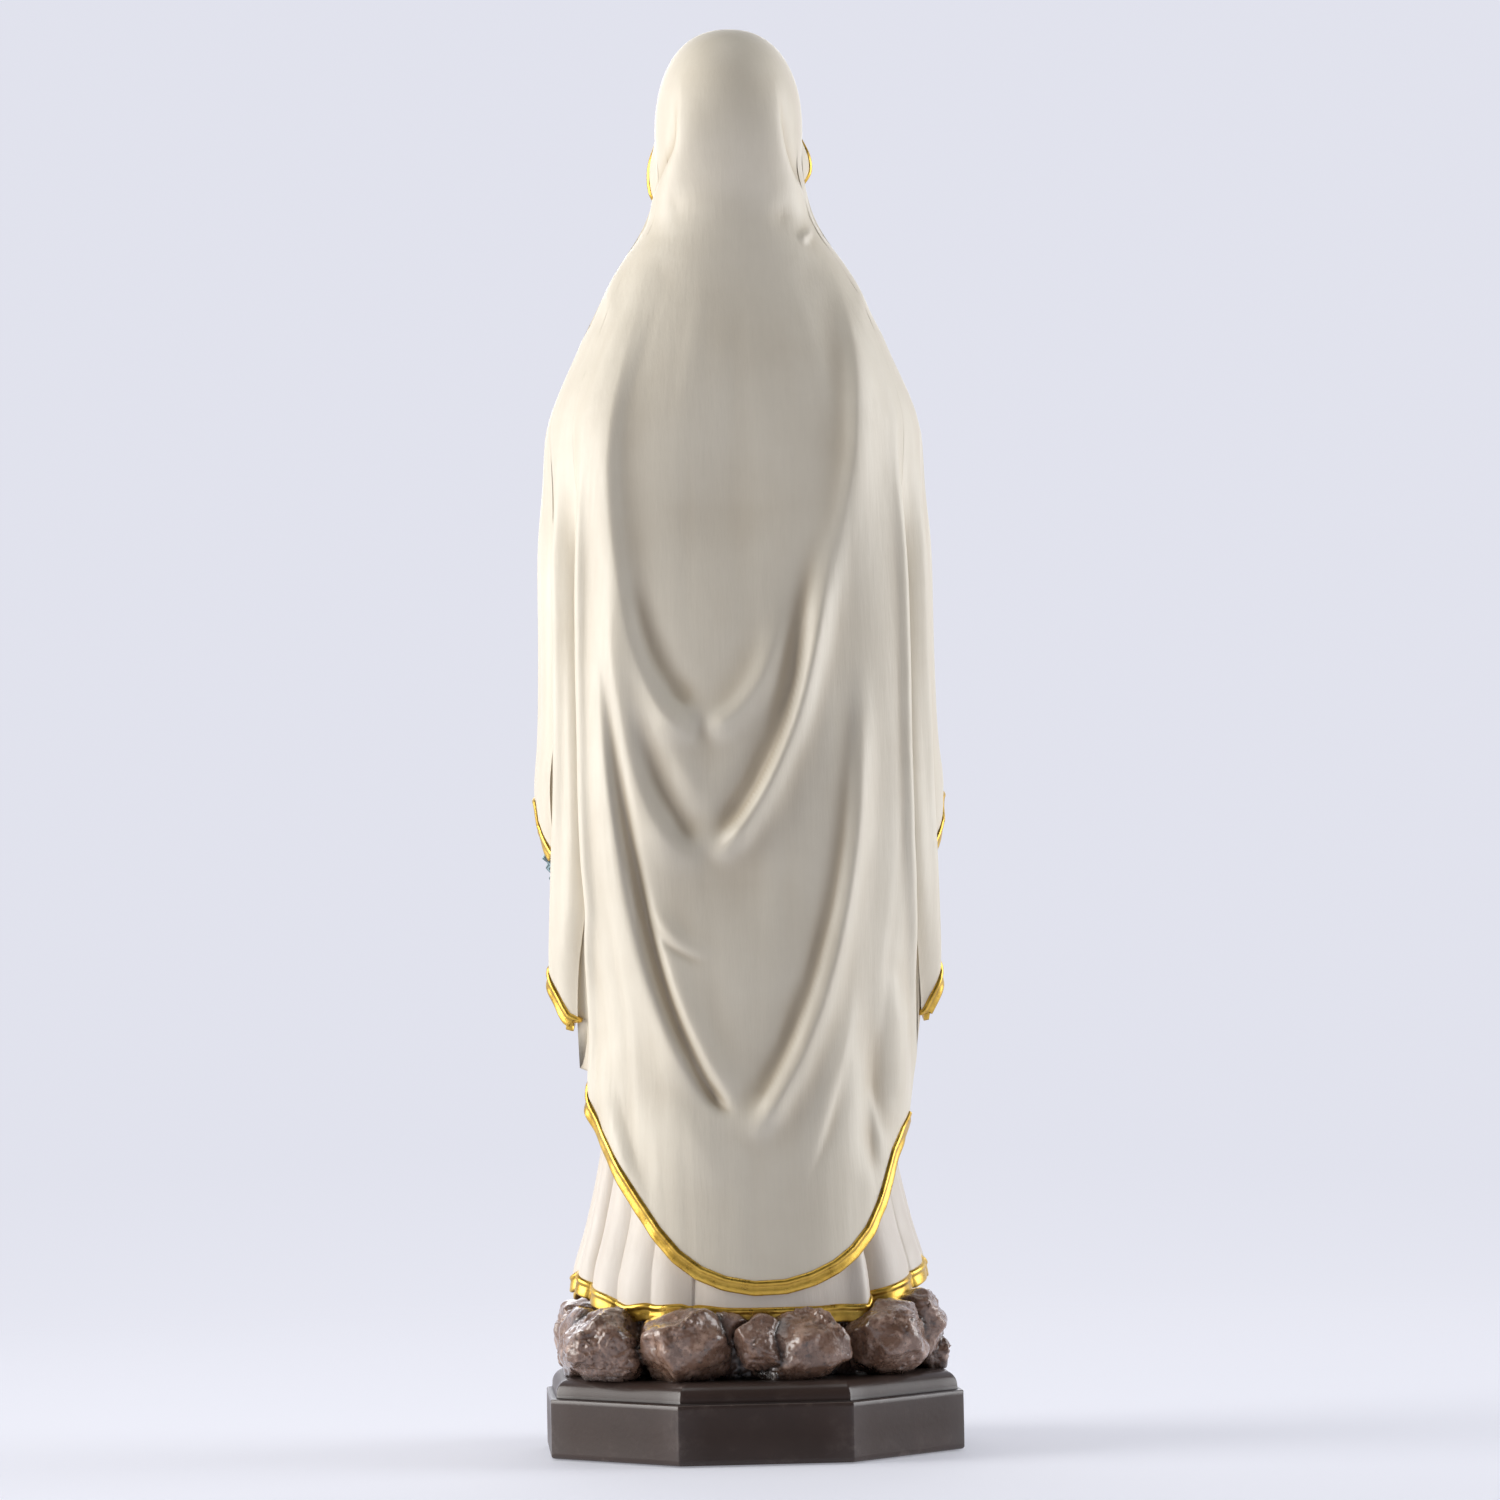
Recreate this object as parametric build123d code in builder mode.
from build123d import *
import math
import os

"""Painted cast-resin Madonna statue on rocks and an octagonal plinth.

Row frame: millimetres, +Z up, origin at the centre of the resting face.
The figure faces -Y and its left hand side is +X.
"""
os.makedirs("parts", exist_ok=True)

# ---------------------------------------------------------------- driving sizes
PLINTH_AF = 90.0          # across flats of the octagonal plinth
PLINTH_STEP_AF = 87.4     # across flats of the moulding above the step
FELT_AF = 82.0
FELT_T = 1.2              # felt set in a recess of the plinth
FOOT_GAP = 0.3            # felt stands this far below the plinth
PLINTH_SIDE_TOP = 13.2    # top of the plain upright side
PLINTH_TOP = 17.5         # seat of the rock casting
MOULD_R = 3.4             # round of the moulding
ROCK_TOP = 33.0           # seat of the gown casting
STATUE_TOP = 316.0        # crown of the veil

BORDER_W = 2.4            # width of the gilded borders
BORDER_T = 2.2            # depth of the gilded borders
HEM_TOP = 36.2            # top of the gown's gilded hem
SASH_T = 1.3              # thickness of the sash and the collar


def octagon_r(af):
    return af / 2 / math.cos(math.pi / 8)


def ring(a, back, front, e=1.0, n=24, cx=0.0, cy=0.0, pleats=()):
    """Closed section: half width a, reach back to +Y and front to -Y, squareness e, with pleats (angle, depth, width in degrees)."""
    pts = []
    for i in range(n):
        t = 2 * math.pi * i / n
        s, c = math.sin(t), math.cos(t)
        x = a * math.copysign(abs(s) ** e, s)
        y = (back if c >= 0 else front) * math.copysign(abs(c) ** e, c)
        k = 1.0
        for at, depth, width in pleats:
            d = (math.degrees(t) - at + 180) % 360 - 180
            k += depth * math.exp(-((d / width) ** 2))
        pts.append((cx + x * k, cy + y * k))
    return pts


# ---------------------------------------------------------------- section tables
# height, half width, reach to the back, reach to the front
MANTLE = [
    (33.0, 35.5, 34.5, 30.0, 0.92),
    (60.0, 36.0, 33.5, 31.0, 0.92),
    (90.0, 39.0, 32.0, 32.5, 0.92),
    (120.0, 42.5, 30.8, 33.5, 0.92),
    (145.0, 45.2, 30.0, 34.0, 0.92),
    (175.0, 44.2, 29.0, 34.0, 0.92),
    (205.0, 43.6, 27.5, 33.0, 0.92),
    (222.0, 42.8, 26.0, 31.0, 0.94),
    (237.0, 37.6, 23.5, 26.5, 0.96),
    (252.0, 30.4, 20.0, 20.5, 1.0),
    (264.0, 24.6, 16.8, 16.0, 1.0),
    (276.0, 17.6, 15.6, 14.5, 1.0),
    (288.0, 18.3, 18.2, 16.0, 1.0),
    (299.0, 17.4, 18.6, 16.4, 1.0),
    (308.0, 13.8, 15.6, 13.4, 1.0),
    (313.5, 8.6, 10.6, 8.4, 1.0),
    (316.0, 2.6, 3.6, 2.6, 1.0),
]
GOWN = [
    (33.0, 37.0, 31.5, 33.0, 0.95),
    (40.0, 37.6, 31.6, 33.4, 0.95),
    (60.0, 32.4, 28.0, 28.6, 0.97),
    (90.0, 28.5, 25.5, 25.0, 1.0),
    (130.0, 25.5, 22.5, 21.5, 1.0),
    (165.0, 22.6, 18.5, 18.6, 1.0),
    (190.0, 19.4, 15.5, 15.8, 1.0),
    (201.0, 18.2, 14.5, 14.6, 1.0),
    (220.0, 20.6, 15.0, 17.2, 1.0),
    (240.0, 21.6, 13.5, 15.4, 1.0),
    (252.0, 18.0, 10.0, 11.5, 1.0),
    (259.0, 11.0, 7.5, 9.0, 1.0),
]
HEM_FLUTES = [(25, 0.045, 9), (62, 0.05, 9), (98, 0.045, 9), (140, 0.04, 10), (180, 0.05, 10),
              (220, 0.04, 10), (262, 0.05, 9), (298, 0.045, 9), (335, 0.05, 9)]


def lofted(table, n=24, flutes=()):
    """Lofts the active part through a table of sections."""
    faces = []
    for z, a, back, front, e in table:
        k = max(0.0, min(1.0, (150.0 - z) / 100.0))
        with BuildSketch(Plane.XY.offset(z), mode=Mode.PRIVATE) as s:
            with BuildLine():
                Spline(*ring(a, back, front, e, n, pleats=[(t, d * k, w) for t, d, w in flutes]), periodic=True)
            make_face()
        faces.append(s.sketch)
    return faces


# ---------------------------------------------------------------- plinth and felt
with BuildPart() as felt_pad:
    with BuildSketch(Plane.XY):
        RegularPolygon(octagon_r(FELT_AF), 8, rotation=22.5)
    extrude(amount=FELT_T)
felt_pad.part.label = "felt_pad"

with BuildPart() as plinth:
    with BuildSketch(Plane.XY.offset(FOOT_GAP)):
        RegularPolygon(octagon_r(PLINTH_AF), 8, rotation=22.5)
    extrude(amount=PLINTH_SIDE_TOP - FOOT_GAP)
    chamfer(plinth.edges().group_by(Axis.Z)[-1], 0.35)
    chamfer(plinth.edges().group_by(Axis.Z)[0], 0.4)
    with BuildSketch(Plane.XY.offset(PLINTH_SIDE_TOP)):
        RegularPolygon(octagon_r(PLINTH_STEP_AF), 8, rotation=22.5)
    extrude(amount=PLINTH_TOP - PLINTH_SIDE_TOP)
    fillet(plinth.edges().group_by(Axis.Z)[-1], MOULD_R)
    # shallow recess for the felt
    with BuildSketch(Plane.XY.offset(FOOT_GAP)):
        RegularPolygon(octagon_r(FELT_AF), 8, rotation=22.5)
    extrude(amount=FELT_T - FOOT_GAP, mode=Mode.SUBTRACT)
plinth.part.label = "plinth"

# ---------------------------------------------------------------- rock ground
# boulders: x, y, z of centre, radius
BOULDERS = [
    (33.0, 22.0, 24.5, 10.6), (18.5, 33.0, 23.5, 10.4), (-1.5, 36.5, 22.0, 8.6), (-13.5, 32.5, 23.5, 9.8),
    (-28.0, 27.0, 24.0, 10.8), (-37.0, 11.0, 21.5, 7.2), (-33.5, -3.0, 25.5, 9.6), (-35.0, -16.5, 22.5, 7.8),
    (-26.5, -28.0, 23.0, 10.4), (-10.5, -35.0, 22.0, 8.8), (6.0, -36.0, 22.5, 9.0), (22.0, -31.0, 23.0, 10.2),
    (33.5, -19.0, 23.0, 9.6), (36.0, -3.5, 23.5, 8.2), (38.0, 9.0, 21.0, 6.4), (6.0, 33.5, 27.0, 7.0),
    (-34.0, 17.5, 29.0, 6.4),
]
with BuildPart() as rock_ground:
    with BuildSketch(Plane.XY.offset(PLINTH_TOP)):
        Circle(34.0)
    extrude(amount=ROCK_TOP - PLINTH_TOP)
    for bx, by, bz, br in BOULDERS:
        with Locations((bx, by, bz)):
            Sphere(br)
    # flat seat on the plinth and under the gown, and the overhang trimmed to the plinth
    with BuildSketch(Plane.XY.offset(PLINTH_TOP)):
        Rectangle(120, 120)
    extrude(amount=-30, mode=Mode.SUBTRACT)
    with BuildSketch(Plane.XY.offset(ROCK_TOP)):
        Rectangle(120, 120)
    extrude(amount=30, mode=Mode.SUBTRACT)
rock_ground.part.label = "rock_ground"

# hollow inside the mantle; its wall is thicker where it rests on the shoulders and the head
MANTLE_INNER = [
    (33.0, 33.2, 32.0, 28.0, 0.92), (60.0, 33.6, 30.8, 28.6, 0.92), (90.0, 36.5, 28.5, 30.0, 0.92),
    (120.0, 40.0, 26.5, 31.0, 0.92), (145.0, 42.6, 24.5, 31.5, 0.92), (175.0, 41.6, 22.0, 31.4, 0.92),
    (205.0, 41.0, 19.5, 30.4, 0.92), (222.0, 40.0, 17.5, 28.4, 0.94), (237.0, 34.6, 13.0, 23.8, 0.96),
    (252.0, 25.0, 9.5, 17.6, 1.0), (264.0, 14.5, 6.8, 13.4, 1.0), (276.0, 12.0, 9.0, 12.2, 1.0),
    (288.0, 12.8, 11.6, 13.6, 1.0), (299.0, 12.6, 12.2, 14.0, 1.0), (306.0, 9.0, 10.0, 10.5, 1.0),
    (310.5, 3.4, 4.0, 3.6, 1.0),
]

# ---------------------------------------------------------------- full forms of the gown and the mantle
with BuildPart() as gown_form:
    loft(sections=lofted(GOWN, 48, HEM_FLUTES))

with BuildPart() as mantle_form:
    loft(sections=lofted(MANTLE, 24))

with BuildPart() as mantle_inner_form:
    loft(sections=lofted(MANTLE_INNER, 24))

# ---------------------------------------------------------------- mantle: a hollow hooded cloak open at the front
# lower edge seen from the side, as (y, z): long at the back, rising to the front
HEM = [(60.0, 24.0), (46.0, 28.5), (34.5, 34.5), (28.0, 44.0), (20.0, 61.0), (12.0, 78.0), (4.0, 96.0), (-4.0, 116.0),
       (-12.0, 137.0), (-20.0, 150.0), (-34.0, 158.0), (-60.0, 166.0)]
# front edges seen from the front, as (x, z), on the figure's left
OPENING = [(0.0, 309.0), (6.0, 307.2), (10.2, 302.6), (12.6, 296.0), (13.2, 288.0), (12.0, 280.0), (9.6, 272.0),
           (9.4, 264.0), (10.6, 252.0), (12.8, 238.0), (15.2, 224.0), (17.0, 210.0), (19.0, 196.0), (21.5, 182.0),
           (24.5, 168.0), (29.0, 155.0), (34.0, 144.0)]


def offset_points(points, grow):
    """Points moved sideways by `grow`, to the left of the direction of travel."""
    moved = []
    for i, (u, v) in enumerate(points):
        u0, v0 = points[max(i - 1, 0)]
        u1, v1 = points[min(i + 1, len(points) - 1)]
        length = math.hypot(u1 - u0, v1 - v0)
        moved.append((u - (v1 - v0) / length * grow, v + (u1 - u0) / length * grow))
    return moved


def cutter(grow):
    """Everything below the hem, and everything in front of the figure between the front edges."""
    hem = offset_points(HEM, -grow)
    outline = [(-x, z) for x, z in reversed(OPENING[1:])] + OPENING
    outline = offset_points(outline, grow)
    with BuildPart() as c:
        with BuildSketch(Plane.YZ.offset(-80)):
            with BuildLine():
                edge = Spline(*hem)
                Polyline(edge @ 1, (hem[-1][0], 0), (hem[0][0], 0), edge @ 0)
            make_face()
        extrude(amount=160)
        with BuildSketch(Plane.XZ):
            with BuildLine():
                edge = Spline(*outline)
                Polyline(edge @ 1, (outline[-1][0], 60.0), (outline[0][0], 60.0), edge @ 0)
            make_face()
        extrude(amount=80)
    return c


cut_edge = cutter(0.0)
cut_border = cutter(BORDER_W)

with BuildPart() as mantle_cloak_form:
    add(mantle_form.part)
    add(mantle_inner_form.part, mode=Mode.SUBTRACT)
    add(cut_border.part, mode=Mode.SUBTRACT)

with BuildPart() as mantle_border_form:
    add(mantle_form.part)
    add(mantle_inner_form.part, mode=Mode.SUBTRACT)
    add(cut_border.part, mode=Mode.INTERSECT)
    add(cut_edge.part, mode=Mode.SUBTRACT)

# ---------------------------------------------------------------- head, neck and hair
HEAD = [
    (275.0, 4.6, 4.0, 8.4), (278.0, 7.6, 7.6, 11.2), (284.0, 10.4, 11.0, 13.0), (290.0, 11.6, 12.4, 13.6),
    (296.0, 12.0, 13.0, 13.6), (302.0, 11.3, 12.2, 12.4), (307.0, 8.6, 9.6, 9.2), (310.5, 3.4, 3.8, 3.4),
]
HEAD_CY = -1.6
with BuildPart() as head:
    faces = []
    for z, a, back, front in HEAD:
        with BuildSketch(Plane.XY.offset(z), mode=Mode.PRIVATE) as s:
            with BuildLine():
                Spline(*ring(a, back, front, 1.0, 20, cy=HEAD_CY), periodic=True)
            make_face()
        faces.append(s.sketch)
    loft(sections=faces)
    # nose
    with BuildSketch(Plane.YZ.offset(-1.5)):
        Polygon((-13.6, 292.0), (-17.4, 285.6), (-13.6, 284.6), align=None)
    extrude(amount=3.0)
    # neck, with its peg in the gown
    with BuildSketch(Plane.XY.offset(250.0)):
        Circle(6.4)
    extrude(amount=32.0)
head.part.label = "head"

with BuildPart() as mantle:
    add(mantle_cloak_form.part)
    add(head.part, mode=Mode.SUBTRACT)
mantle.part.label = "mantle"

with BuildPart() as mantle_border:
    add(mantle_border_form.part)
    add(head.part, mode=Mode.SUBTRACT)
mantle_border.part.label = "mantle_border"

with BuildPart() as hair_form:
    faces = []
    for z, a, back, front in HEAD[2:]:
        with BuildSketch(Plane.XY.offset(z + (1.4 if z > 300 else 0.0)), mode=Mode.PRIVATE) as s:
            with BuildLine():
                Spline(*ring(a + 1.5, back + 1.2, front + 0.9, 1.0, 20, cy=HEAD_CY), periodic=True)
            make_face()
        faces.append(s.sketch)
    loft(sections=faces)

with BuildPart() as hair:
    add(hair_form.part)
    add(head.part, mode=Mode.SUBTRACT)
    with BuildSketch(Plane.XZ):
        with Locations((0, 288.5)):
            Ellipse(9.8, 14.5)
    extrude(amount=40, mode=Mode.SUBTRACT)
    for item in (mantle, mantle_border):
        add(item.part, mode=Mode.SUBTRACT)
hair.part.label = "hair"

# ---------------------------------------------------------------- sleeves and hands
ELBOW = (31.0, -9.0, 199.0)
WRIST = (5.6, -27.0, 221.0)
HAND_T = 4.2
# outline of a praying hand seen from its side, as (y, z)
HAND = [(-24.6, 222.0), (-24.2, 228.0), (-24.6, 234.0), (-26.6, 241.0), (-28.6, 247.6), (-30.2, 249.6), (-31.8, 248.4),
        (-32.8, 243.0), (-33.8, 236.0), (-34.4, 230.0), (-33.2, 225.0), (-31.0, 221.0)]


def sleeve_axis(side):
    e = Vector(side * ELBOW[0], ELBOW[1], ELBOW[2])
    w = Vector(side * WRIST[0], WRIST[1], WRIST[2])
    return e, w, (w - e)


def make_hand(side):
    e, w, d = sleeve_axis(side)
    with BuildPart() as hand:
        with BuildSketch(Plane.YZ):
            with BuildLine():
                Spline(*HAND, periodic=True)
            make_face()
        extrude(amount=side * HAND_T)
        with BuildSketch(Plane(origin=w - d.normalized() * 9.0, z_dir=d.normalized())):
            Circle(3.1)
        extrude(amount=12.5)
        # the palms meet on the middle plane
        with BuildSketch(Plane.YZ):
            Rectangle(500, 700)
        extrude(amount=-side * 20, mode=Mode.SUBTRACT)
    return hand


left_hand = make_hand(1)
left_hand.part.label = "left_hand"
right_hand = make_hand(-1)
right_hand.part.label = "right_hand"


def make_sleeve(side, hand):
    e, w, d = sleeve_axis(side)
    n = d.normalized()
    with BuildPart() as sleeve:
        with BuildSketch(Plane(origin=e, z_dir=n)):
            Circle(8.6)
        with BuildSketch(Plane(origin=e + d * 0.5, z_dir=n)):
            Circle(7.4)
        with BuildSketch(Plane(origin=w - n * 1.6, z_dir=n)):
            Circle(6.6)
        loft()
        for item in (gown_form, hand, mantle, mantle_border):
            add(item.part, mode=Mode.SUBTRACT)
        with BuildSketch(Plane.YZ):
            Rectangle(500, 700)
        extrude(amount=-side * 20, mode=Mode.SUBTRACT)
    return sleeve


def make_cuff(side, hand, sleeve):
    e, w, d = sleeve_axis(side)
    n = d.normalized()
    with BuildPart() as cuff:
        with BuildSketch(Plane(origin=w - n * 3.4, z_dir=n)):
            Circle(7.5)
        extrude(amount=1.8)
        add(sleeve.part, mode=Mode.SUBTRACT)
        add(gown_form.part, mode=Mode.SUBTRACT)
        add(hand.part, mode=Mode.SUBTRACT)
        with BuildSketch(Plane.YZ.offset(side * 0.15)):
            Rectangle(500, 700)
        extrude(amount=-side * 20, mode=Mode.SUBTRACT)
    return cuff


left_sleeve = make_sleeve(1, left_hand)
left_sleeve.part.label = "left_sleeve"
right_sleeve = make_sleeve(-1, right_hand)
right_sleeve.part.label = "right_sleeve"
left_cuff = make_cuff(1, left_hand, left_sleeve)
left_cuff.part.label = "left_cuff"
right_cuff = make_cuff(-1, right_hand, right_sleeve)
right_cuff.part.label = "right_cuff"

# ---------------------------------------------------------------- feet and their roses
FOOT_X = 8.5
with BuildPart() as left_foot:
    with BuildSketch(Plane.XY.offset(ROCK_TOP)):
        with Locations(Pos(FOOT_X, -33.0) * Rot(0, 0, 8)):
            SlotOverall(19.0, 8.0, rotation=90)
    extrude(amount=5.4, taper=9)
    fillet(left_foot.edges().group_by(Axis.Z)[-1], 1.6)
left_foot.part.label = "left_foot"
with BuildPart() as right_foot:
    add(left_foot.part)
    mirror(about=Plane.YZ, mode=Mode.REPLACE)
right_foot.part.label = "right_foot"


def make_rose(foot, side):
    with BuildPart() as rose:
        with Locations((side * (FOOT_X + 0.6), -37.2, ROCK_TOP + 6.0)):
            Sphere(2.7)
        add(foot.part, mode=Mode.SUBTRACT)
        add(gown_form.part, mode=Mode.SUBTRACT)
    return rose


left_rose = make_rose(left_foot, 1)
left_rose.part.label = "left_rose"
right_rose = make_rose(right_foot, -1)
right_rose.part.label = "right_rose"

# ---------------------------------------------------------------- gown, its gilded hem and collar
with BuildPart() as gown:
    add(gown_form.part)
    for item in (left_foot, right_foot, head, mantle, mantle_border):
        add(item.part, mode=Mode.SUBTRACT)
    with BuildSketch(Plane.XY):
        Rectangle(200, 200)
    extrude(amount=HEM_TOP, mode=Mode.SUBTRACT)
gown.part.label = "gown"

with BuildPart() as gown_hem:
    add(gown_form.part)
    for item in (left_foot, right_foot, mantle_border):
        add(item.part, mode=Mode.SUBTRACT)
    with BuildSketch(Plane.XY.offset(HEM_TOP)):
        Rectangle(200, 200)
    extrude(amount=400, mode=Mode.SUBTRACT)
gown_hem.part.label = "gown_hem"

with BuildPart() as trim_form:
    loft(sections=lofted([(z, a + SASH_T, b + SASH_T, f + SASH_T, e) for z, a, b, f, e in GOWN], 48, HEM_FLUTES))

with BuildPart() as collar:
    add(trim_form.part)
    add(gown_form.part, mode=Mode.SUBTRACT)
    for item in (head, mantle, mantle_border):
        add(item.part, mode=Mode.SUBTRACT)
    with BuildSketch(Plane.XY.offset(255.0)):
        Rectangle(60, 60)
    extrude(amount=2.4, mode=Mode.INTERSECT)
collar.part.label = "collar"

# ---------------------------------------------------------------- blue sash
with BuildPart() as sash_band:
    add(trim_form.part)
    add(gown_form.part, mode=Mode.SUBTRACT)
    with BuildSketch(Plane.XZ.offset(-3.0)):
        Polygon((-26, 195.5), (26, 195.5), (26, 204.5), (-26, 204.5), align=None)
    extrude(amount=40, mode=Mode.INTERSECT)
    for item in (left_sleeve, right_sleeve):
        add(item.part, mode=Mode.SUBTRACT)
sash_band.part.label = "sash_band"

with BuildPart() as sash_knot:
    with Locations((7.0, -14.6, 199.0)):
        Sphere(4.0)
    add(gown_form.part, mode=Mode.SUBTRACT)
    add(sash_band.part, mode=Mode.SUBTRACT)
    for item in (left_sleeve, right_sleeve):
        add(item.part, mode=Mode.SUBTRACT)
sash_knot.part.label = "sash_knot"

with BuildPart() as sash_tail_straight:
    add(trim_form.part)
    add(gown_form.part, mode=Mode.SUBTRACT)
    with BuildSketch(Plane.XZ):
        Polygon((3.5, 195.5), (8.5, 195.5), (7.6, 170), (7.8, 102), (-2.6, 98), (0.4, 170), align=None)
    extrude(amount=60, mode=Mode.INTERSECT)
    add(sash_knot.part, mode=Mode.SUBTRACT)
sash_tail_straight.part.label = "sash_tail_straight"

# ribbon that swings out to the figure's left: station, direction of travel, width
TAIL = [
    ((10.8, -17.2, 195.0), (0.42, -0.10, -0.90), 5.0),
    ((17.5, -20.6, 178.0), (0.42, -0.12, -0.90), 7.0),
    ((25.0, -20.5, 160.0), (0.46, 0.04, -0.89), 8.0),
    ((33.0, -16.5, 144.5), (0.56, 0.20, -0.80), 8.4),
    ((41.0, -11.4, 131.5), (0.62, 0.30, -0.72), 8.6),
]
with BuildPart() as sash_tail_swung:
    for o, d, w in TAIL:
        z_dir = Vector(*d).normalized()
        x_dir = z_dir.cross(Vector(0.35, -1, 0.1)).normalized()
        with BuildSketch(Plane(origin=o, x_dir=x_dir, z_dir=z_dir)):
            RectangleRounded(w, 1.8, 0.6)
    loft()
    for item in (gown_form, sash_knot, sash_band, mantle, mantle_border):
        add(item.part, mode=Mode.SUBTRACT)
sash_tail_swung.part.label = "sash_tail_swung"

NODES = [felt_pad, plinth, rock_ground, gown, gown_hem, mantle, mantle_border, head, hair, collar,
         left_sleeve, right_sleeve, left_cuff, right_cuff, left_hand, right_hand, sash_band, sash_knot,
         sash_tail_straight, sash_tail_swung, left_foot, right_foot, left_rose, right_rose]
for node in NODES:
    export_step(node.part, f"parts/{node.part.label}.step")
    print(f"{node.part.label:20s} solids {len(node.part.solids())} volume {node.part.volume / 1000:.2f} cm3 valid {node.part.is_valid}")
